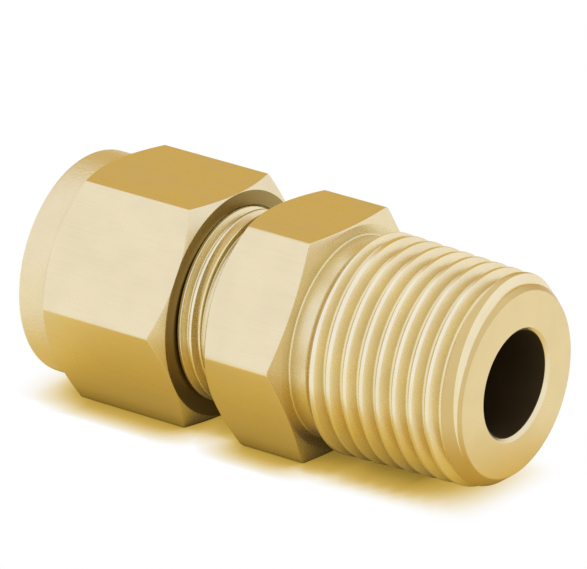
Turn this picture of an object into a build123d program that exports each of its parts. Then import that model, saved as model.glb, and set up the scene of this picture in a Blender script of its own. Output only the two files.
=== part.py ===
"""Male tube connector in brass: 1/2 inch tube in a nut with two ferrules, 1/2 inch taper pipe thread outside.

Millimetres. The X axis is the common axis of all four pieces, with +X towards the pipe thread.
The origin is the centre of the pipe thread's end face. The hexes have flats above and below,
so the fitting lies on their lower flats, with +Z up. The nut is drawn finger-tight.
Both outside threads are solid up to their crests, and the nut's inside thread is open to its roots.
"""
import os
from math import cos, radians, tan

from build123d import *

# Tube, the bore that takes it, and the narrower flow bore behind the socket's shoulder
tube_diameter = 12.7
tube_clearance = 0.07
socket_depth = 12.9
socket_shoulder = 1.22
flow_bore_chamfer = 0.35

# Pipe end: length from the hex, and the cone over its thread's crests, measured at the end face
pipe_end_length = 19.05
pipe_crest_radius = 10.33
pipe_taper_per_length = 1 / 32
pipe_thread_depth = 1.0
pipe_chamfer_length = 1.7
pipe_chamfer_depth = 1.32

# Plain neck between the pipe thread and the hex, and the bevel that the thread runs out on
neck_length = 2.1
neck_below_root = 0.06
neck_bevel_length = 0.9

# Body hex, and how far inside the flats its round end faces stay
body_hex_length = 8.95
body_hex_face_step = 0.21
body_hex_front_angle = 15
body_hex_back_angle = 36
body_hex_edge_radius = 0.7

# Tube end: thread up to a relief groove beside the hex, and the cone that seats the front ferrule
tube_end_length = 12.0
tube_end_wall = 3.08
tube_thread_depth = 0.68
relief_length = 1.95
relief_below_root = 0.07
seat_angle = 20
seat_lip = 1.08

# Front ferrule: a long cone at the nose, a cylindrical rim and a conical recess behind
front_nose_wall = 0.28
front_rim_wall = 1.53
front_rim_length = 1.1
recess_step = 0.98
recess_angle = 45

# Back ferrule: a nose in the recess, a plain neck and a flange with a 45 degree bevel behind
back_nose_wall = 0.2
back_neck_wall = 0.68
back_neck_gap = 0.67
flange_wall = 1.48
flange_length = 0.8
flange_bevel = 1.0

# Nut: its wall over the thread makes both hexes 22.225 across flats, for a 7/8 inch wrench
nut_wall = 1.5125
nut_length = 17.6
nut_thread_length = 9.8
nut_ferrule_room = 0.45
nut_hole_length = 4.3
nut_face_step = 0.03
nut_front_angle = 30
nut_back_angle = 36
nut_hex_edge_radius = 0.35

# Turned collar behind the nut's hex
collar_length = 3.15
collar_step = 0.06
collar_chamfer = 0.35

# Clearances between neighbouring pieces
thread_clearance = 0.1
seat_clearance = 0.1
ferrule_clearance = 0.05


def crest_radius(x):
    """Radius over the pipe thread's crests at place x."""
    return pipe_crest_radius - x * pipe_taper_per_length


# Radii, from the tube outward
tube_bore_radius = tube_diameter / 2 + tube_clearance
flow_bore_radius = tube_bore_radius - socket_shoulder
tube_thread_radius = tube_bore_radius + tube_end_wall
relief_radius = tube_thread_radius - tube_thread_depth - relief_below_root
nut_thread_radius = tube_thread_radius + thread_clearance
nut_bore_radius = tube_bore_radius + front_rim_wall + nut_ferrule_room
hex_width = 2 * (nut_thread_radius + nut_wall)
body_hex_face_radius = hex_width / 2 - body_hex_face_step
nut_face_radius = hex_width / 2 - nut_face_step
collar_radius = hex_width / 2 - collar_step

# Places along the axis that the body gives
hex_front_x = -pipe_end_length
hex_back_x = hex_front_x - body_hex_length
relief_x = hex_back_x - relief_length
mouth_x = hex_back_x - tube_end_length
socket_floor_x = mouth_x + socket_depth

# The neck lies just under the pipe thread's roots, so that the thread runs out over it
neck_end_x = hex_front_x + neck_length
bevel_end_x = neck_end_x + neck_bevel_length
neck_radius = crest_radius(neck_end_x) - pipe_thread_depth - neck_below_root
pipe_face_radius = crest_radius(-pipe_chamfer_length) - pipe_chamfer_depth

# The front ferrule's cone lies in the seat, moved in by the clearance square to the surface
seat_slope = tan(radians(seat_angle))
seat_length = seat_lip / seat_slope
seat_mouth_radius = tube_bore_radius + seat_lip
front_cone_at_mouth = seat_mouth_radius - seat_clearance / cos(radians(seat_angle))
front_nose_radius = tube_bore_radius + front_nose_wall
front_rim_radius = tube_bore_radius + front_rim_wall
front_nose_x = mouth_x + (front_cone_at_mouth - front_nose_radius) / seat_slope
front_shoulder_x = mouth_x - (front_rim_radius - front_cone_at_mouth) / seat_slope
front_rear_x = front_shoulder_x - front_rim_length

# The back ferrule's nose lies in the front ferrule's recess
recess_slope = tan(radians(recess_angle))
recess_length = recess_step / recess_slope
recess_radius = tube_bore_radius + recess_step
back_cone_at_rear = recess_radius - ferrule_clearance / cos(radians(recess_angle))
back_nose_radius = tube_bore_radius + back_nose_wall
back_neck_radius = tube_bore_radius + back_neck_wall
back_nose_x = front_rear_x + (back_cone_at_rear - back_nose_radius) / recess_slope
back_neck_x = front_rear_x + (back_cone_at_rear - back_neck_radius) / recess_slope
flange_radius = tube_bore_radius + flange_wall
flange_front_x = front_rear_x - back_neck_gap
flange_bevel_x = flange_front_x - flange_length
back_rear_x = flange_bevel_x - flange_bevel

# The nut's shoulder runs parallel to the flange's bevel
shoulder_offset = seat_clearance / cos(radians(45))
shoulder_front_x = flange_bevel_x + nut_bore_radius - flange_radius - shoulder_offset
shoulder_rear_x = shoulder_front_x - (nut_bore_radius - tube_bore_radius)
nut_rear_x = shoulder_rear_x - nut_hole_length
nut_front_x = nut_rear_x + nut_length
collar_x = nut_rear_x + collar_length
nut_thread_rear_x = nut_front_x - nut_thread_length


def hex_section(x, edge_radius):
    """Section of the hexagonal bar at place x: flats above and below, corners rounded."""
    with BuildSketch(Plane.YZ.offset(x)) as section:
        RegularPolygon(radius=hex_width / 2, side_count=6, major_radius=False)
        fillet(section.vertices(), edge_radius)
    return section.sketch


def corner_turning(back, front):
    """Profile that turns the hex corners down at both ends.

    Each end is its place, the radius that its flat face keeps, and the angle back from that face.
    """
    back_x, back_radius, back_angle = back
    front_x, front_radius, front_angle = front
    outside = hex_width
    with BuildSketch(Plane.XZ) as profile:
        Polygon(
            (back_x, 0),
            (back_x, back_radius),
            (back_x + (outside - back_radius) * tan(radians(back_angle)), outside),
            (front_x - (outside - front_radius) * tan(radians(front_angle)), outside),
            (front_x, front_radius),
            (front_x, 0),
            align=None,
        )
    return profile.sketch


# Connector body: bar hex with a turned pipe end and tube end, bored through
with BuildPart() as connector_body:
    extrude(hex_section(hex_back_x, body_hex_edge_radius), amount=body_hex_length)
    body_hex_back = (hex_back_x, body_hex_face_radius, body_hex_back_angle)
    body_hex_front = (hex_front_x, body_hex_face_radius, body_hex_front_angle)
    revolve(corner_turning(body_hex_back, body_hex_front), axis=Axis.X, mode=Mode.INTERSECT)

    with BuildSketch(Plane.XZ):
        Polygon(
            (hex_front_x, 0),
            (hex_front_x, neck_radius),
            (neck_end_x, neck_radius),
            (bevel_end_x, crest_radius(bevel_end_x)),
            (-pipe_chamfer_length, crest_radius(-pipe_chamfer_length)),
            (0, pipe_face_radius),
            (0, 0),
            align=None,
        )
    revolve(axis=Axis.X)

    with BuildSketch(Plane.XZ):
        Polygon(
            (hex_back_x, 0),
            (hex_back_x, relief_radius),
            (relief_x, relief_radius),
            (relief_x, tube_thread_radius),
            (mouth_x, tube_thread_radius),
            (mouth_x, 0),
            align=None,
        )
    revolve(axis=Axis.X)

    with BuildSketch(Plane.XZ):
        Polygon(
            (mouth_x, 0),
            (mouth_x, seat_mouth_radius),
            (mouth_x + seat_length, tube_bore_radius),
            (socket_floor_x, tube_bore_radius),
            (socket_floor_x, flow_bore_radius),
            (-flow_bore_chamfer, flow_bore_radius),
            (0, flow_bore_radius + flow_bore_chamfer),
            (0, 0),
            align=None,
        )
    revolve(axis=Axis.X, mode=Mode.SUBTRACT)
connector_body.part.label = "connector_body"

# Front ferrule
with BuildPart() as front_ferrule:
    with BuildSketch(Plane.XZ):
        Polygon(
            (front_nose_x, tube_bore_radius),
            (front_nose_x, front_nose_radius),
            (front_shoulder_x, front_rim_radius),
            (front_rear_x, front_rim_radius),
            (front_rear_x, recess_radius),
            (front_rear_x + recess_length, tube_bore_radius),
            align=None,
        )
    revolve(axis=Axis.X)
front_ferrule.part.label = "front_ferrule"

# Back ferrule
with BuildPart() as back_ferrule:
    with BuildSketch(Plane.XZ):
        Polygon(
            (back_nose_x, tube_bore_radius),
            (back_nose_x, back_nose_radius),
            (back_neck_x, back_neck_radius),
            (flange_front_x, back_neck_radius),
            (flange_front_x, flange_radius),
            (flange_bevel_x, flange_radius),
            (back_rear_x, flange_radius - flange_bevel),
            (back_rear_x, tube_bore_radius),
            align=None,
        )
    revolve(axis=Axis.X)
back_ferrule.part.label = "back_ferrule"

# Tube nut: bar hex with a turned collar behind it, bored from the front for thread and ferrules
with BuildPart() as tube_nut:
    extrude(hex_section(collar_x, nut_hex_edge_radius), amount=nut_front_x - collar_x)
    nut_hex_back = (collar_x, collar_radius, nut_back_angle)
    nut_hex_front = (nut_front_x, nut_face_radius, nut_front_angle)
    revolve(corner_turning(nut_hex_back, nut_hex_front), axis=Axis.X, mode=Mode.INTERSECT)

    with BuildSketch(Plane.XZ):
        Polygon(
            (nut_rear_x, 0),
            (nut_rear_x, collar_radius - collar_chamfer),
            (nut_rear_x + collar_chamfer, collar_radius),
            (collar_x, collar_radius),
            (collar_x, 0),
            align=None,
        )
    revolve(axis=Axis.X)

    with BuildSketch(Plane.XZ):
        Polygon(
            (nut_rear_x, 0),
            (nut_rear_x, tube_bore_radius),
            (shoulder_rear_x, tube_bore_radius),
            (shoulder_front_x, nut_bore_radius),
            (nut_thread_rear_x, nut_bore_radius),
            (nut_thread_rear_x, nut_thread_radius),
            (nut_front_x, nut_thread_radius),
            (nut_front_x, 0),
            align=None,
        )
    revolve(axis=Axis.X, mode=Mode.SUBTRACT)
tube_nut.part.label = "tube_nut"

os.makedirs("parts", exist_ok=True)
for piece in (connector_body, front_ferrule, back_ferrule, tube_nut):
    export_step(piece.part, f"parts/{piece.part.label}.step")
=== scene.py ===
"""Looks of a brass tube connector: threaded body, tube nut and two ferrules on a white floor.

The axis of the fitting is X. Lengths in the profiles below are millimetres, as on a drawing, and
become metres where the meshes are made. An angle round the axis is counted from +Y towards +Z.
"""

import math
from collections import namedtuple

import bpy
import numpy as np
from mathutils import Matrix, Vector


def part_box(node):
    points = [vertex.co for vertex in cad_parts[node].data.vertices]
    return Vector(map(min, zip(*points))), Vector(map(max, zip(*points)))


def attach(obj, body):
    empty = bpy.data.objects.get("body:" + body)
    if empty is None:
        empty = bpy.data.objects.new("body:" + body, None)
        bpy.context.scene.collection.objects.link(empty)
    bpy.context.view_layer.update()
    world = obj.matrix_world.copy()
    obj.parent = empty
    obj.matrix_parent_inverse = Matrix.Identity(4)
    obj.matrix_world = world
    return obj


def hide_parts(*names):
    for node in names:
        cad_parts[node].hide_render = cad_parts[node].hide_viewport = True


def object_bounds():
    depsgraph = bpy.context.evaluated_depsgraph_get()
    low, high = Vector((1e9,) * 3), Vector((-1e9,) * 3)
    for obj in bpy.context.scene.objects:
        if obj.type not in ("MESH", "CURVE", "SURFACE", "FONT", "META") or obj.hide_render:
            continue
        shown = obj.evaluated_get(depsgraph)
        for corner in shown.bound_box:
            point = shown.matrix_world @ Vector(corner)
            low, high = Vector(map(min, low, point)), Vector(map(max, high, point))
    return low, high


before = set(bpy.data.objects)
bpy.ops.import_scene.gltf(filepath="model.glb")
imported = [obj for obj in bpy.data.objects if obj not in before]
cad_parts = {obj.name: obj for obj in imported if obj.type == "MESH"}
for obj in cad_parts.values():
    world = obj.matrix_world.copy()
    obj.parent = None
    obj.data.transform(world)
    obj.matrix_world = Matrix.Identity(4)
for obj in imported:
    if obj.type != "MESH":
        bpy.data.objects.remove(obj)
cad_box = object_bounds()

METRE = 0.001
TURN = 2 * math.pi

# Angle from a hex corner to the middle of the flat beside it
HALF_SIDE = math.radians(30)

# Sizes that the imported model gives
body_low, body_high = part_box("connector_body")
nut_low, nut_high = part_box("tube_nut")
FLAT = body_high.z / METRE
MOUTH_X = body_low.x / METRE
NUT_REAR_X = nut_low.x / METRE
NUT_FRONT_X = nut_high.x / METRE

# Bores
TUBE_BORE = 6.42
FLOW_BORE = 5.2
FLOW_BORE_CHAMFER = 0.35
SOCKET_DEPTH = 12.9
SEAT_MOUTH = 7.5
SEAT_LENGTH = 2.967

# Pipe end of the body
HEX_FRONT_X = -19.05
NECK = 9.8
NECK_LENGTH = 2.1
NECK_FOOT_ROUNDING = 0.5
NECK_END_X = HEX_FRONT_X + NECK_LENGTH
BEVEL_LENGTH = 0.9
BEVEL_END_X = NECK_END_X + BEVEL_LENGTH
PIPE_CREST = 10.33
PIPE_TAPER = 1 / 32
CHAMFER_X = -1.7
FACE_RADIUS = 9.063

# Body hex, and the relief groove behind it
HEX_BACK_X = -28.0
BODY_FACE = 10.9
BODY_EDGE = 0.7
BODY_FRONT_ANGLE = math.radians(15)
BODY_BACK_ANGLE = math.radians(36)
RELIEF = 8.75
RELIEF_LENGTH = 1.95
RELIEF_X = HEX_BACK_X - RELIEF_LENGTH

# Tube end of the body
TUBE_CREST = 9.5
TUBE_PITCH = 1.27
TUBE_ROOT_FLAT = 0.2
TUBE_GROOVE_X = -30.765
TUBE_END_CHAMFER = 0.8

# Nut
NUT_THREAD = 9.6
NUT_THREAD_LENGTH = 9.8
NUT_THREAD_REAR_X = NUT_FRONT_X - NUT_THREAD_LENGTH
NUT_BORE = 8.4
NUT_SHOULDER_FRONT_X = -43.74
NUT_SHOULDER_REAR_X = -45.72
NUT_FACE = 11.08
NUT_MOUTH = 9.95
NUT_EDGE = 0.35
NUT_FRONT_ANGLE = math.radians(30)
NUT_BACK_ANGLE = math.radians(36)
NUT_HOLE_CHAMFER = 0.4
COLLAR = 11.05
COLLAR_LENGTH = 3.15
COLLAR_X = NUT_REAR_X + COLLAR_LENGTH
COLLAR_ROUNDING = 0.5

# Thread flanks, and how far a groove is drawn past the crests before it is cut off there
FLANK = math.radians(30)
PROUD = 0.05

# Columns of points round the axis: even ones, and closer ones over each rounded hex corner, from which
# the even ones keep this many times half the angle that it covers
COLUMNS = 240
CORNER_COLUMNS = 8
CORNER_REACH = 1.2

# A rounding takes at most this share of the line beside it
MOST_ROUNDED = 0.45

# Corner of a profile: its place, radius, rounding, the finish of what follows it, and its points
Corner = namedtuple("Corner", "key x r soft finish points", defaults=(0.05, "turned", 3))

# Thread: groove_x is a groove's middle at angle 0, crest gives the radius of the crests at a place,
# low and high are its ends, and run_out is where its grooves fade to nothing and over what length
Thread = namedtuple(
    "Thread", "name groove_x pitch depth root_flat root_soft crest low high run_out", defaults=(None,)
)


def pipe_crest(x):
    """Radius of the taper pipe thread's crests."""
    return PIPE_CREST - x * PIPE_TAPER


PIPE_THREAD = Thread(
    name="pipe",
    groove_x=0.5435,
    pitch=1.814,
    depth=1.0,
    root_flat=0.3,
    root_soft=0.12,
    crest=pipe_crest,
    low=HEX_FRONT_X,
    high=0.0,
    run_out=(-17.3, 2.6),
)
TUBE_THREAD = Thread(
    name="tube",
    groove_x=TUBE_GROOVE_X,
    pitch=TUBE_PITCH,
    depth=0.68,
    root_flat=TUBE_ROOT_FLAT,
    root_soft=0.08,
    crest=lambda x: TUBE_CREST,
    low=MOUTH_X,
    high=RELIEF_X,
)
NUT_RIDGES = Thread(
    name="nut",
    groove_x=TUBE_GROOVE_X,
    pitch=TUBE_PITCH,
    depth=0.7,
    root_flat=TUBE_ROOT_FLAT,
    root_soft=0.05,
    crest=lambda x: NUT_THREAD,
    low=NUT_THREAD_REAR_X,
    high=NUT_FRONT_X,
)


def from_corner(angle):
    """Angle to the nearest corner of the hex, which has flats above and below."""
    return abs((angle + TURN / 12) % (TURN / 6) - TURN / 12)


def corner_round(edge):
    """Distance from the axis to the centre of a rounded hex corner, and half the angle it covers."""
    centre = (FLAT - edge) / math.cos(HALF_SIDE)
    half = math.atan2(edge * math.sin(HALF_SIDE), centre + edge * math.cos(HALF_SIDE))
    return centre, half


def hex_radius(angle, edge):
    """Distance from the axis to a hex with its corners rounded."""
    off = from_corner(angle)
    centre, half = corner_round(edge)
    if off >= half:
        return FLAT / math.cos(HALF_SIDE - off)
    return centre * math.cos(off) + math.sqrt(edge ** 2 - (centre * math.sin(off)) ** 2)


def hex_angles(edge):
    """Angles of the columns round the axis, closer together over the rounded hex corners."""
    half = corner_round(edge)[1]
    angles = set()
    for i in range(COLUMNS):
        angle = TURN * i / COLUMNS
        if from_corner(angle) > half * CORNER_REACH:
            angles.add(round(angle, 7))
    for side in range(6):
        for k in range(CORNER_COLUMNS + 1):
            angle = TURN * side / 6 + half * (2 * k / CORNER_COLUMNS - 1)
            angles.add(round(angle % TURN, 7))
    return sorted(angles)


def setback(radius, face, angle):
    """How far the turned end of a hex lies back at a radius, from the edge of its flat face."""
    return (radius - face) * math.tan(angle)


def grooves(thread, angle):
    """Helical grooves as a line in rising x, standing a little proud of the crests between them."""
    line = []
    turned = angle / TURN
    turn_low = math.floor((thread.low - thread.groove_x) / thread.pitch - turned) - 1
    turn_high = math.ceil((thread.high - thread.groove_x) / thread.pitch - turned) + 1
    for n in range(turn_low, turn_high + 1):
        middle = thread.groove_x + thread.pitch * (n + turned)
        cut = thread.depth
        if thread.run_out:
            end, length = thread.run_out
            share = min(max((middle - end) / length, 0.0), 1.0)
            cut = thread.depth * share - PROUD / 2 * (1 - share)
        root = thread.root_flat / 2
        top = root + (cut + PROUD) * math.tan(FLANK)
        for k, (off, down) in enumerate(((-top, -PROUD), (-root, cut), (root, cut), (top, -PROUD))):
            x = middle + off
            line.append(Corner((thread.name, n, k), x, thread.crest(x) - down, thread.root_soft))
    return line


def lower_line(blank, cuts, soft):
    """Corners of the lower one of two lines in rising x: the turned blank and the grooves cut in it.

    A corner's finish is that of the stretch before it, because outside profiles run back in x.
    """
    blank_x = [c.x for c in blank]
    blank_r = [c.r for c in blank]
    cut_x = [c.x for c in cuts]
    cut_r = [c.r for c in cuts]
    marks = [(c.x, "blank", c) for c in blank]
    marks += [(c.x, "cut", c) for c in cuts if blank_x[0] < c.x < blank_x[-1]]
    marks.sort(key=lambda mark: mark[:2])
    places = np.array([mark[0] for mark in marks])
    gaps = np.interp(places, cut_x, cut_r) - np.interp(places, blank_x, blank_r)
    cuts_before = [c for c in cuts if c.x <= blank_x[0]]
    latest = {"blank": blank[0].key, "cut": cuts_before[-1].key}
    finish = "crest" if gaps[0] >= 0 else "thread"
    line = []
    for i, (x, kind, c) in enumerate(marks):
        latest[kind] = c.key
        gap = gaps[i]
        is_end = kind == "blank" and i in (0, len(marks) - 1)
        if kind == "blank" and (gap >= 0 or is_end):
            line.append(c._replace(r=c.r + min(gap, 0.0), finish=finish))
        elif kind == "cut" and gap < 0:
            line.append(c._replace(finish=finish))
        if i + 1 < len(marks) and gap * gaps[i + 1] < 0:
            share = gap / (gap - gaps[i + 1])
            at = x + (marks[i + 1][0] - x) * share
            key = ("meet", latest["cut"], latest["blank"])
            line.append(Corner(key, at, float(np.interp(at, blank_x, blank_r)), soft, finish))
            finish = "crest" if gap < 0 else "thread"
    return line


def soften(corners):
    """Rounds every corner of a closed profile and returns (key, x, r, finish) for each point."""
    points = []
    for i, c in enumerate(corners):
        back = corners[i - 1]
        ahead = corners[(i + 1) % len(corners)]
        tip = np.array((c.x, c.r))
        to_back = np.array((back.x - c.x, back.r - c.r))
        to_ahead = np.array((ahead.x - c.x, ahead.r - c.r))
        length_back = math.hypot(*to_back)
        length_ahead = math.hypot(*to_ahead)
        reach = min(c.soft, MOST_ROUNDED * length_back, MOST_ROUNDED * length_ahead)
        start = tip + to_back * reach / length_back
        end = tip + to_ahead * reach / length_ahead
        for k in range(c.points):
            t = k / (c.points - 1)
            x, r = start * (1 - t) ** 2 + tip * 2 * t * (1 - t) + end * t ** 2
            points.append(((c.key, k), x, r, back.finish if k == 0 else c.finish))
    return points


def pipe_finish(c):
    """Finish of the pipe end before a corner: the end chamfer and the neck aren't crests."""
    if c.finish == "crest" and c.x > CHAMFER_X:
        return "rim"
    if c.finish == "crest" and c.x <= BEVEL_END_X:
        return "turned"
    return c.finish


def pipe_end(angle):
    """Outside of the body's pipe end in rising x, from the neck to the end face."""
    blank = [
        Corner("neck", HEX_FRONT_X + NECK_FOOT_ROUNDING, NECK, 0.1),
        Corner("neck_end", NECK_END_X, NECK, 0.3),
        Corner("bevel_end", BEVEL_END_X, pipe_crest(BEVEL_END_X), 0.1),
        Corner("chamfer", CHAMFER_X, pipe_crest(CHAMFER_X), 0.12),
        Corner("face", 0.0, FACE_RADIUS, 0.12),
    ]
    line = lower_line(blank, grooves(PIPE_THREAD, angle), 0.06)
    return [c._replace(finish=pipe_finish(c)) for c in line]


def tube_end(angle):
    """Outside of the body's tube end in rising x, from its mouth to the relief groove."""
    blank = [
        Corner("tube_end", MOUTH_X, TUBE_CREST - TUBE_END_CHAMFER, 0.1),
        Corner("tube_chamfer", MOUTH_X + TUBE_END_CHAMFER, TUBE_CREST, 0.1),
        Corner("relief_wall", RELIEF_X, TUBE_CREST, 0.06),
    ]
    return lower_line(blank, grooves(TUBE_THREAD, angle), 0.05)


def body_corners(angle):
    """Closed profile of the connector body at an angle round the axis."""
    flat = hex_radius(angle, BODY_EDGE)
    front_edge_x = HEX_FRONT_X - setback(flat, BODY_FACE, BODY_FRONT_ANGLE)
    back_edge_x = HEX_BACK_X + setback(flat, BODY_FACE, BODY_BACK_ANGLE)
    line = [Corner("bore_mouth", 0.0, FLOW_BORE + FLOW_BORE_CHAMFER, 0.06, "face")]
    line += pipe_end(angle)[::-1]
    line += [
        Corner("neck_foot", HEX_FRONT_X, NECK, NECK_FOOT_ROUNDING, "turned", points=6),
        Corner("front_face", HEX_FRONT_X, BODY_FACE, 0.06, "turned"),
        Corner("front_edge", front_edge_x, flat, 0.06, "bar"),
        Corner("back_edge", back_edge_x, flat, 0.08, "turned"),
        Corner("back_face", HEX_BACK_X, BODY_FACE, 0.06, "turned"),
        Corner("relief_foot", HEX_BACK_X, RELIEF, 0.15, "turned"),
        Corner("relief_end", RELIEF_X, RELIEF, 0.15, "turned"),
    ]
    line += tube_end(angle)[::-1]
    line += [
        Corner("seat_mouth", MOUTH_X, SEAT_MOUTH, 0.06, "turned"),
        Corner("seat_end", MOUTH_X + SEAT_LENGTH, TUBE_BORE, 0.1, "bore"),
        Corner("socket_end", MOUTH_X + SOCKET_DEPTH, TUBE_BORE, 0.1, "bore"),
        Corner("shoulder", MOUTH_X + SOCKET_DEPTH, FLOW_BORE, 0.1, "bore"),
        Corner("bore_end", -FLOW_BORE_CHAMFER, FLOW_BORE, 0.08, "turned"),
    ]
    return line


def nut_corners(angle):
    """Closed profile of the tube nut at an angle round the axis."""
    flat = hex_radius(angle, NUT_EDGE)
    front_edge_x = NUT_FRONT_X - setback(flat, NUT_FACE, NUT_FRONT_ANGLE)
    back_edge_x = COLLAR_X + setback(flat, COLLAR, NUT_BACK_ANGLE)
    hole = [
        Corner("thread_start", NUT_THREAD_REAR_X, NUT_THREAD, 0.1),
        Corner("thread_front", NUT_FRONT_X - (NUT_MOUTH - NUT_THREAD), NUT_THREAD, 0.05),
        Corner("mouth", NUT_FRONT_X, NUT_MOUTH, 0.06),
    ]
    line = [
        Corner("front_face", NUT_FRONT_X, NUT_FACE, 0.08, "turned"),
        Corner("front_edge", front_edge_x, flat, 0.06, "bar"),
        Corner("back_edge", back_edge_x, flat, 0.06, "turned"),
        Corner("collar_start", COLLAR_X, COLLAR, 0.05, "collar"),
        Corner("collar_end", NUT_REAR_X, COLLAR, COLLAR_ROUNDING, "turned", points=7),
        Corner("hole_mouth", NUT_REAR_X, TUBE_BORE + NUT_HOLE_CHAMFER, 0.1, "turned"),
        Corner("hole_start", NUT_REAR_X + NUT_HOLE_CHAMFER, TUBE_BORE, 0.1, "bore"),
        Corner("shoulder_inner", NUT_SHOULDER_REAR_X, TUBE_BORE, 0.1, "turned"),
        Corner("shoulder_outer", NUT_SHOULDER_FRONT_X, NUT_BORE, 0.1, "turned"),
        Corner("room_end", NUT_THREAD_REAR_X, NUT_BORE, 0.1, "turned"),
    ]
    line += lower_line(hole, grooves(NUT_RIDGES, angle), 0.05)
    # The nut's front face gets the mouth brass, with its painted shade
    line[-1] = line[-1]._replace(finish="mouth")
    return line


def link(first, second, faces, finishes):
    """Faces between two neighbouring columns, along the corners that both of them have.

    A column is a list of (key, vertex, finish). Corners that only one column has are fanned in.
    """
    where = {entry[0]: i for i, entry in enumerate(second)}
    anchors = [(i, where[entry[0]]) for i, entry in enumerate(first) if entry[0] in where]
    rising = []
    for i, j in anchors:
        if not rising or j > rising[-1][1]:
            rising.append((i, j))
    rising.append((len(first), len(second)))
    for (i0, j0), (i1, j1) in zip(rising, rising[1:]):
        i, j = i0, j0
        while i < i1 or j < j1:
            a = first[i % len(first)]
            b = second[j % len(second)]
            next_a = first[(i + 1) % len(first)]
            next_b = second[(j + 1) % len(second)]
            ahead_first = (i + 1 - i0) / (i1 - i0) if i < i1 else 2.0
            ahead_second = (j + 1 - j0) / (j1 - j0) if j < j1 else 2.0
            if abs(ahead_first - ahead_second) < 1e-9:
                faces.append((a[1], next_a[1], next_b[1], b[1]))
                i += 1
                j += 1
            elif ahead_first < ahead_second:
                faces.append((a[1], next_a[1], b[1]))
                i += 1
            else:
                faces.append((a[1], next_b[1], b[1]))
                j += 1
            finishes.append(a[2])


def skin(corners_at, angles):
    """Points, faces and the faces' finishes of a piece, from its profile at every angle."""
    points = []
    columns = []
    for angle in angles + [TURN]:
        column = []
        for key, x, r, finish in soften(corners_at(angle)):
            if angle == TURN:
                column.append((key, len(column), finish))
            else:
                column.append((key, len(points), finish))
                points.append((x, r * math.cos(angle), r * math.sin(angle)))
        columns.append(column)
    assert len(columns[-1]) == len(columns[0]), "the last profile must close on the first"
    faces = []
    finishes = []
    for first, second in zip(columns, columns[1:]):
        link(first, second, faces, finishes)
    return np.array(points) * METRE, faces, finishes


def point_normals(points, faces):
    """Normals at the points. A face counts by its area, so that the large ones look flat."""
    normals = np.zeros_like(points)
    for face in faces:
        normal = np.cross(points[face[1]] - points[face[0]], points[face[-1]] - points[face[0]])
        if len(face) == 4:
            normal += np.cross(points[face[3]] - points[face[2]], points[face[1]] - points[face[2]])
        for vertex in face:
            normals[vertex] += normal
    return normals / np.maximum(np.linalg.norm(normals, axis=1, keepdims=True), 1e-20)


def add_object(name, data):
    """New object in the scene."""
    thing = bpy.data.objects.new(name, data)
    bpy.context.scene.collection.objects.link(thing)
    return thing


def turned_piece(name, corners_at, angles, materials):
    """Piece made from its profile at every angle, with a material for each finish."""
    points, faces, finishes = skin(corners_at, angles)
    mesh = bpy.data.meshes.new(name)
    mesh.from_pydata(points.tolist(), [], faces)
    order = list(materials)
    for finish in order:
        mesh.materials.append(materials[finish])
    mesh.polygons.foreach_set("material_index", [order.index(finish) for finish in finishes])
    mesh.shade_smooth()
    mesh.normals_split_custom_set_from_vertices(point_normals(points, faces).tolist())
    return add_object(name, mesh)


def feed(tree, socket, value):
    """Gives an input a value, or links a socket to it."""
    if isinstance(value, bpy.types.NodeSocket):
        tree.links.new(value, socket)
    else:
        socket.default_value = value


def maths(tree, operation, *values):
    """Math node on one or two inputs, each a number or a socket."""
    node = tree.nodes.new("ShaderNodeMath")
    node.operation = operation
    for socket, value in zip(node.inputs, values):
        feed(tree, socket, value)
    return node.outputs["Value"]


def combine(tree, x, y, z):
    """Vector from three numbers or sockets."""
    node = tree.nodes.new("ShaderNodeCombineXYZ")
    for socket, value in zip(node.inputs, (x, y, z)):
        feed(tree, socket, value)
    return node.outputs["Vector"]


def object_place(tree):
    """Place of a point on the piece, as a vector and as its x, y and z."""
    place = tree.nodes.new("ShaderNodeTexCoord").outputs["Object"]
    split = tree.nodes.new("ShaderNodeSeparateXYZ")
    tree.links.new(place, split.inputs["Vector"])
    return place, split.outputs


def noise(tree, place, size, roughness=0.5, w=None):
    """Noise over a place in metres, its size in millimetres, with a fourth coordinate if w is given."""
    node = tree.nodes.new("ShaderNodeTexNoise")
    node.noise_dimensions = "3D" if w is None else "4D"
    node.inputs["Scale"].default_value = 1 / (size * METRE)
    node.inputs["Detail"].default_value = NOISE_DETAIL
    node.inputs["Roughness"].default_value = roughness
    tree.links.new(place, node.inputs["Vector"])
    if w is not None:
        tree.links.new(w, node.inputs["W"])
    return node.outputs["Fac"]


def spread(tree, value, old_range, new_range=(0.0, 1.0), interpolation="LINEAR"):
    """Value mapped from one range to another, clamped."""
    node = tree.nodes.new("ShaderNodeMapRange")
    node.interpolation_type = interpolation
    node.inputs["From Min"].default_value = old_range[0]
    node.inputs["From Max"].default_value = old_range[1]
    node.inputs["To Min"].default_value = new_range[0]
    node.inputs["To Max"].default_value = new_range[1]
    tree.links.new(value, node.inputs["Value"])
    return node.outputs["Result"]


def blend_colours(tree, share, first, second, blend_type="MIX"):
    """Mix of two colours, each a tuple or a socket."""
    node = tree.nodes.new("ShaderNodeMix")
    node.data_type = "RGBA"
    node.blend_type = blend_type
    feed(tree, node.inputs["Factor"], share)
    for name, value in (("A", first), ("B", second)):
        feed(tree, node.inputs[name], (*value, 1) if isinstance(value, tuple) else value)
    return node.outputs["Result"]


def ramp(tree, value, stops):
    """Colour that changes along a value through the given stops, each a position and a colour."""
    node = tree.nodes.new("ShaderNodeValToRGB")
    steps = node.color_ramp.elements
    steps[0].position = stops[0][0]
    steps[0].color = (*stops[0][1], 1)
    steps[1].position = stops[-1][0]
    steps[1].color = (*stops[-1][1], 1)
    for position, colour in stops[1:-1]:
        steps.new(position).color = (*colour, 1)
    tree.links.new(value, node.inputs["Fac"])
    return node.outputs["Color"]


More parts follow.
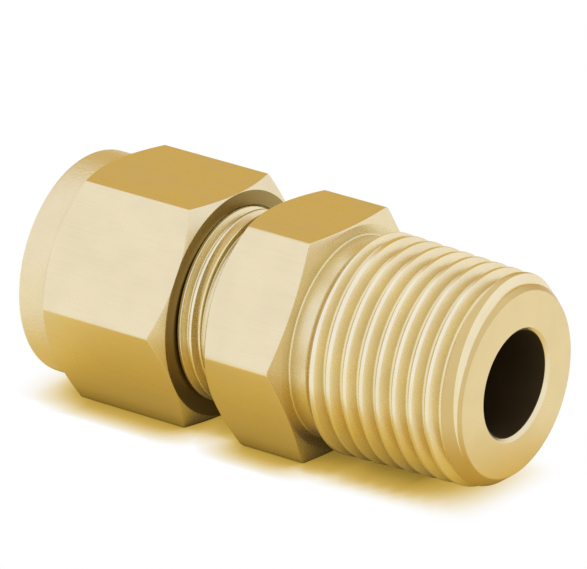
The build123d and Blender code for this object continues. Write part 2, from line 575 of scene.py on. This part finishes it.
def openness(tree, distance, samples):
    """Share of the view from a point that nothing covers within a distance in millimetres."""
    node = tree.nodes.new("ShaderNodeAmbientOcclusion")
    node.inputs["Distance"].default_value = distance * METRE
    node.samples = samples
    return node.outputs["AO"]


# Noises on the brass: their sizes in millimetres, and the range that most of their values lie in
TURNED_MARK = 0.09
BAR_MARK = 0.12
CLOUD = 3.5
NOISE_DETAIL = 3
FINE_ROUGHNESS = 0.6
NOISE_RANGE = (0.3, 0.7)
CLOUD_RANGE = (0.35, 0.65)

# Share that x is squeezed to for the marks along the bar, and the metres that a direction from the
# axis counts for in the turned marks
BAR_SQUEEZE = 0.02
DIRECTION_SPAN = 0.0004

# Tones of the brass as shares of its colour, and how much of the darker one the marks bring
CLOUD_TONE = 0.96
MARK_TONE = 0.6
MARK_SHARE = 0.12

# How far the roughness strays with the grain and with the clouds, and the depth of the bump
GRAIN_GLOSS = 0.05
CLOUD_GLOSS = 0.03
BUMP_DEPTH = 0.01

# Shade painted into the brass by how open its place is, from a closed recess to an open surface
RECESS_DISTANCE = 3
RECESS_SAMPLES = 8
RECESS_PAINTED_SHADE = (
    (0.0, (0.06, 0.055, 0.03)),
    (0.15, (0.36, 0.34, 0.20)),
    (0.35, (0.76, 0.74, 0.55)),
    (0.6, (0.96, 0.95, 0.88)),
    (0.85, (1.0, 1.0, 1.0)),
)


def turned_marks(tree, x, y, z):
    """Fine marks by the place along the axis, the radius and the direction from the axis."""
    squares = maths(tree, "ADD", maths(tree, "MULTIPLY", y, y), maths(tree, "MULTIPLY", z, z))
    radius = maths(tree, "SQRT", squares)
    side = maths(tree, "DIVIDE", y, radius)
    up = maths(tree, "DIVIDE", z, radius)
    place = combine(tree, x, radius, maths(tree, "MULTIPLY", side, DIRECTION_SPAN))
    w = maths(tree, "MULTIPLY", up, DIRECTION_SPAN / (TURNED_MARK * METRE))
    return noise(tree, place, TURNED_MARK, FINE_ROUGHNESS, w)


def bar_marks(tree, x, y, z):
    """Fine lines along the bar."""
    place = combine(tree, maths(tree, "MULTIPLY", x, BAR_SQUEEZE), y, z)
    return noise(tree, place, BAR_MARK, FINE_ROUGHNESS)


def darker(colour, share):
    """The colour with a share of its light."""
    return tuple(c * share for c in colour)


def brass(
    name, colour, roughness, marks=turned_marks, mark_depth=0.25,
    grain_depth=0.15, grain_size=0.12, painted_shade_share=1.0,
):
    """Satin brass: tool marks, fine grain, uneven tone and gloss, and painted shade in the recesses."""
    material = bpy.data.materials.new(name)
    material.use_nodes = True
    tree = material.node_tree
    shader = tree.nodes["Principled BSDF"]
    place, (x, y, z) = object_place(tree)
    lines = marks(tree, x, y, z)
    grain = noise(tree, place, grain_size, FINE_ROUGHNESS)
    cloud = noise(tree, place, CLOUD)

    cloudy = spread(tree, cloud, CLOUD_RANGE)
    tone = blend_colours(tree, cloudy, colour, darker(colour, CLOUD_TONE))
    marked = spread(tree, lines, NOISE_RANGE, (0.0, MARK_SHARE))
    tone = blend_colours(tree, marked, tone, darker(colour, MARK_TONE))
    # Painted shade: the colour darkens where the brass is closed in, by the share given
    painted_shade = ramp(tree, openness(tree, RECESS_DISTANCE, RECESS_SAMPLES), RECESS_PAINTED_SHADE)
    tone = blend_colours(tree, painted_shade_share, tone, painted_shade, "MULTIPLY")
    tree.links.new(tone, shader.inputs["Base Color"])

    grain_gloss = spread(tree, grain, NOISE_RANGE, (-GRAIN_GLOSS, GRAIN_GLOSS))
    cloud_gloss = spread(tree, cloud, NOISE_RANGE, (-CLOUD_GLOSS, CLOUD_GLOSS))
    gloss = maths(tree, "ADD", grain_gloss, cloud_gloss)
    tree.links.new(maths(tree, "ADD", gloss, roughness), shader.inputs["Roughness"])

    mark_height = maths(tree, "MULTIPLY", lines, mark_depth)
    grain_height = maths(tree, "MULTIPLY", grain, grain_depth)
    bump = tree.nodes.new("ShaderNodeBump")
    bump.inputs["Distance"].default_value = BUMP_DEPTH * METRE
    bump.inputs["Strength"].default_value = 1.0
    tree.links.new(maths(tree, "ADD", mark_height, grain_height), bump.inputs["Height"])
    tree.links.new(bump.outputs["Normal"], shader.inputs["Normal"])
    shader.inputs["Metallic"].default_value = 1.0
    return material


BRASS = (0.84, 0.715, 0.44)
# Painted shade: the end face's brass is darker than the rest
FACE_PAINTED_SHADE = (0.80, 0.64, 0.33)
# Painted shade: the end chamfer's brass is darker and more golden than the rest
RIM_PAINTED_SHADE = (0.68, 0.50, 0.20)
THREAD = (0.88, 0.75, 0.45)
# Painted highlight: the crests' brass is paler than the rest
CREST_PAINTED_HIGHLIGHT = (0.89, 0.80, 0.57)
# Painted shade: the brass inside the bores is nearly black
BORE_PAINTED_SHADE = (0.2, 0.14, 0.06)
# Painted shade: the ring round the nut's mouth is dark brown
MOUTH_PAINTED_SHADE = (0.38, 0.275, 0.09)

materials = {
    "turned": brass("turned_brass", BRASS, 0.28),
    "face": brass("faced_brass", FACE_PAINTED_SHADE, 0.32),
    "rim": brass("rim_brass", RIM_PAINTED_SHADE, 0.35, mark_depth=1.2),
    "thread": brass("threaded_brass", THREAD, 0.3, mark_depth=0.2, grain_depth=0.05, painted_shade_share=0.4),
    "crest": brass("crest_brass", CREST_PAINTED_HIGHLIGHT, 0.25, mark_depth=0.2, grain_depth=0.05, painted_shade_share=0.6),
    "bar": brass("bar_brass", BRASS, 0.33, bar_marks, mark_depth=0.12, grain_depth=0.12),
    "collar": brass("collar_brass", BRASS, 0.42, grain_depth=6.0, grain_size=0.3),
    "bore": brass("bore_brass", BORE_PAINTED_SHADE, 0.5),
    "mouth": brass("mouth_brass", MOUTH_PAINTED_SHADE, 0.4),
}

# The pieces
body = turned_piece("threaded_body", body_corners, hex_angles(BODY_EDGE), materials)
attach(body, "connector_body")
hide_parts("connector_body")
nut = turned_piece("hex_nut", nut_corners, hex_angles(NUT_EDGE), materials)
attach(nut, "nut")
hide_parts("tube_nut")
for name in ("front_ferrule", "back_ferrule"):
    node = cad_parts[name]
    node.data.materials.clear()
    node.data.materials.append(materials["turned"])

# Floor: its half width in metres, and the shadow painted on it as it is seen and as the brass mirrors
# it
FLOOR_REACH = 3.0
SHADE_SAMPLES = 16
SEEN_DISTANCE = 4.0
SEEN_PAINTED_SHADOW = (
    (0.0, (0.16, 0.10, 0.015)),
    (0.25, (0.48, 0.31, 0.05)),
    (0.45, (0.60, 0.40, 0.09)),
    (0.6, (0.72, 0.55, 0.23)),
    (0.75, (0.84, 0.72, 0.48)),
    (0.88, (0.92, 0.86, 0.72)),
    (0.97, (0.98, 0.96, 0.92)),
    (1.0, (1.0, 1.0, 1.0)),
)
MIRRORED_DISTANCE = 14
MIRRORED_PAINTED_SHADOW = (
    (0.0, (0.03, 0.02, 0.004)),
    (0.12, (0.12, 0.075, 0.012)),
    (0.25, (0.42, 0.29, 0.055)),
    (0.5, (0.66, 0.46, 0.08)),
    (0.8, (0.82, 0.64, 0.23)),
    (0.95, (0.93, 0.84, 0.60)),
    (1.0, (1.0, 1.0, 1.0)),
)

# Places between which the shade that is seen fades out, towards each end of the part
FRONT_FADE = (-9 * METRE, 1 * METRE)
REAR_FADE = (-44 * METRE, -53 * METRE)


def floor_finish(name):
    """White glowing floor, with a golden shadow painted where the part stands over it."""
    paint = bpy.data.materials.new(name)
    paint.use_nodes = True
    tree = paint.node_tree
    tree.nodes.remove(tree.nodes["Principled BSDF"])
    x = object_place(tree)[1]["X"]
    front = spread(tree, x, FRONT_FADE)
    rear = spread(tree, x, REAR_FADE)
    kept = maths(tree, "SUBTRACT", 1.0, maths(tree, "MAXIMUM", front, rear))
    covered = maths(tree, "SUBTRACT", 1.0, openness(tree, SEEN_DISTANCE, SHADE_SAMPLES))
    shaded = maths(tree, "MULTIPLY", covered, kept)
    seen = ramp(tree, maths(tree, "SUBTRACT", 1.0, shaded), SEEN_PAINTED_SHADOW)
    # Painted reflection: the brass mirrors a broader, darker painted shadow than the one that is seen
    mirrored = ramp(tree, openness(tree, MIRRORED_DISTANCE, SHADE_SAMPLES), MIRRORED_PAINTED_SHADOW)
    ray = tree.nodes.new("ShaderNodeLightPath")
    glow = tree.nodes.new("ShaderNodeEmission")
    colour = blend_colours(tree, ray.outputs["Is Glossy Ray"], seen, mirrored)
    tree.links.new(colour, glow.inputs["Color"])
    tree.links.new(glow.outputs["Emission"], tree.nodes["Material Output"].inputs["Surface"])
    return paint


def floor_piece(name):
    """Square floor at the height of the lower flats."""
    sides = ((-1, -1), (1, -1), (1, 1), (-1, 1))
    mesh = bpy.data.meshes.new(name)
    corners = [(x * FLOOR_REACH, y * FLOOR_REACH, cad_box[0][2]) for x, y in sides]
    mesh.from_pydata(corners, [], [(0, 1, 2, 3)])
    mesh.materials.append(floor_finish("floor_paint"))
    return add_object(name, mesh)


floor_piece("floor")

# Studio: a white surround with a golden, darker card behind on the left
SURROUND = (1.02, 1.05, 1.20)
CARD = (0.70, 0.50, 0.14)
CARD_TOWARDS = (-0.45, 0.80, 0.30)
CARD_INNER = math.radians(18)
CARD_OUTER = math.radians(48)


def studio(name):
    """World in which a round card with a soft edge lies in one direction."""
    world = bpy.data.worlds.new(name)
    world.use_nodes = True
    tree = world.node_tree
    place = tree.nodes.new("ShaderNodeTexCoord").outputs["Generated"]
    nearness = tree.nodes.new("ShaderNodeVectorMath")
    nearness.operation = "DOT_PRODUCT"
    nearness.inputs[1].default_value = Vector(CARD_TOWARDS).normalized()
    tree.links.new(place, nearness.inputs[0])
    edge = (math.cos(CARD_OUTER), math.cos(CARD_INNER))
    share = spread(tree, nearness.outputs["Value"], edge, interpolation="SMOOTHSTEP")
    background = tree.nodes["Background"]
    tree.links.new(blend_colours(tree, share, SURROUND, CARD), background.inputs["Color"])
    background.inputs["Strength"].default_value = 1.0
    return world


bpy.context.scene.world = studio("studio")

# Camera at the photograph's viewing angle
CAMERA_AZIMUTH = math.radians(34.88)
CAMERA_ELEVATION = math.radians(21.53)
CAMERA_ROLL = math.radians(1.69)
CAMERA_EYE = Vector((342.36, -527.91, 257.47)) * METRE
FOCAL_PIXELS = 7315
IMAGE_WIDTH = 587
SENSOR_WIDTH = 36


def photo_camera(name):
    """Camera that looks along its azimuth, counted from +Y towards -X, and down by its elevation."""
    lens = bpy.data.cameras.new(name)
    lens.sensor_fit = "HORIZONTAL"
    lens.sensor_width = SENSOR_WIDTH
    lens.lens = FOCAL_PIXELS * SENSOR_WIDTH / IMAGE_WIDTH
    lens.clip_start = 0.01
    lens.clip_end = 20
    look = Vector((
        -math.cos(CAMERA_ELEVATION) * math.sin(CAMERA_AZIMUTH),
        math.cos(CAMERA_ELEVATION) * math.cos(CAMERA_AZIMUTH),
        -math.sin(CAMERA_ELEVATION),
    ))
    facing = look.to_track_quat("-Z", "Y").to_matrix().to_4x4() @ Matrix.Rotation(CAMERA_ROLL, 4, "Z")
    camera = add_object(name, lens)
    camera.matrix_world = Matrix.Translation(CAMERA_EYE) @ facing
    return camera


bpy.context.scene.camera = photo_camera("camera")
bpy.context.scene.view_settings.view_transform = "Standard"
